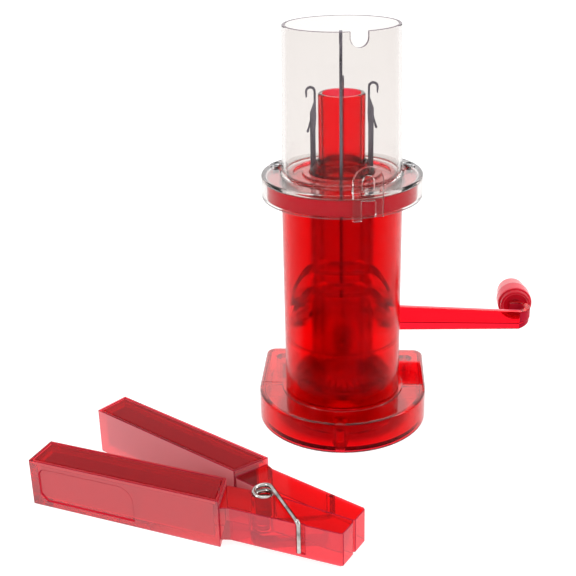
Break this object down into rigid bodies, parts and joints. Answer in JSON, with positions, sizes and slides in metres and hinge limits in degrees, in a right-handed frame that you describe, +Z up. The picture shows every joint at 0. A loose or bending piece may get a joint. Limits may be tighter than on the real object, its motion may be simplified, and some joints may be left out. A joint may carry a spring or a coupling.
{
  "type": "spool knitting machine",
  "caption": "Hand-cranked cord knitter: a geared needle spool in a red tube on a D-shaped base, a clear cover with a yarn guide, and a weighted spring clip.",
  "frame": {"origin": "the point of the base plate's flat underside 22 mm behind the spool's axis, on the object's left-right middle plane", "axes": "+Z up along the spool, -Y to the front where the yarn guide and the clip are, +X to the right where the crank arm points"},
  "size_m": [0.2123, 0.1891, 0.175],
  "materials": {
    "red_plastic": "see-through moulded plastic, glossy",
    "clear_plastic": "clear moulded plastic, glossy",
    "needle_steel": "stamped steel, satin",
    "bright_steel": "bright plated",
    "weight_steel": "dull, inside the plastic"
  },
  "bodies": {
    "housing": {"base_housing": "red_plastic", "base_plate": "red_plastic", "base_screw_front": "bright_steel", "base_screw_rear_left": "bright_steel", "base_screw_rear_right": "bright_steel", "body_tube": "red_plastic", "crank_bushing": "red_plastic", "lower_bearing": "clear_plastic", "cam_lower": "red_plastic", "cam_upper": "red_plastic", "guide_ring": "red_plastic", "top_cover": "clear_plastic", "cover_screw_left": "bright_steel", "cover_screw_right": "bright_steel", "yarn_guide": "clear_plastic"},
    "rotor": {"needle_bed": "red_plastic", "centre_tube": "red_plastic", "crown_gear": "red_plastic"},
    "crank": {"crank_shaft": "bright_steel", "crank_pinion": "red_plastic", "crank_arm": "red_plastic", "crank_screw": "bright_steel", "knob_pin": "bright_steel"},
    "knob": {"crank_knob": "red_plastic"},
    "needle_front": {"needle_front": "needle_steel"},
    "latch_front": {"latch_front": "needle_steel"},
    "needle_left": {"needle_left": "needle_steel"},
    "latch_left": {"latch_left": "needle_steel"},
    "needle_right": {"needle_right": "needle_steel"},
    "latch_right": {"latch_right": "needle_steel"},
    "needle_back": {"needle_back": "needle_steel"},
    "latch_back": {"latch_back": "needle_steel"},
    "clip_rear": {"clip_arm_rear": "red_plastic", "clip_weight_rear": "weight_steel", "clip_lid_rear": "red_plastic", "clip_spring": "bright_steel"},
    "clip_front": {"clip_arm_front": "red_plastic", "clip_weight_front": "weight_steel", "clip_lid_front": "red_plastic"}
  },
  "joints": [
    {"name": "rotor_spin", "type": "hinge", "parent": "housing", "child": "rotor", "pos_m": [0, -0.022, 0.0169], "axis": [0, 0, 1], "continuous": true},
    {"name": "crank_turn", "type": "hinge", "parent": "housing", "child": "crank", "pos_m": [0, 0.008, 0.0294], "axis": [0, 1, 0], "continuous": true},
    {"name": "knob_spin", "type": "hinge", "parent": "crank", "child": "knob", "pos_m": [0.0833, 0.0388, 0.0316], "axis": [0, 1, 0], "continuous": true},
    {"name": "needle_front_slide", "type": "slide", "parent": "rotor", "child": "needle_front", "axis": [0, 0, 1], "range_m": [-0.0222, 0]},
    {"name": "needle_left_slide", "type": "slide", "parent": "rotor", "child": "needle_left", "axis": [0, 0, 1], "range_m": [0, 0.024]},
    {"name": "needle_right_slide", "type": "slide", "parent": "rotor", "child": "needle_right", "axis": [0, 0, 1], "range_m": [0, 0.0222]},
    {"name": "needle_back_slide", "type": "slide", "parent": "rotor", "child": "needle_back", "axis": [0, 0, 1], "range_m": [0, 0.0222]},
    {"name": "latch_front_swing", "type": "hinge", "parent": "needle_front", "child": "latch_front", "pos_m": [0, -0.0342, 0.1615], "axis": [-1, 0, 0], "range_deg": [0, 146]},
    {"name": "latch_left_swing", "type": "hinge", "parent": "needle_left", "child": "latch_left", "pos_m": [-0.0122, -0.022, 0.1375], "axis": [0, 1, 0], "range_deg": [0, 146]},
    {"name": "latch_right_swing", "type": "hinge", "parent": "needle_right", "child": "latch_right", "pos_m": [0.0122, -0.022, 0.1393], "axis": [0, -1, 0], "range_deg": [0, 146]},
    {"name": "latch_back_swing", "type": "hinge", "parent": "needle_back", "child": "latch_back", "pos_m": [0, -0.0098, 0.1393], "axis": [1, 0, 0], "range_deg": [0, 146]},
    {"name": "clip_lift", "type": "slide", "parent": "housing", "child": "clip_rear", "axis": [0, 0, 1], "range_m": [0, 0.12]},
    {"name": "clip_squeeze", "type": "hinge", "parent": "clip_rear", "child": "clip_front", "pos_m": [-0.0271, -0.1154, 0.01], "axis": [0, 0, -1], "range_deg": [0, 16], "stiffness_Nm_per_rad": 0.3, "springref_deg": -28.65, "deforming": ["clip_spring"]}
  ],
  "couplings": [
    {"joint": "crank_turn", "follows": "rotor_spin", "ratio": 2.5714}
  ]
}
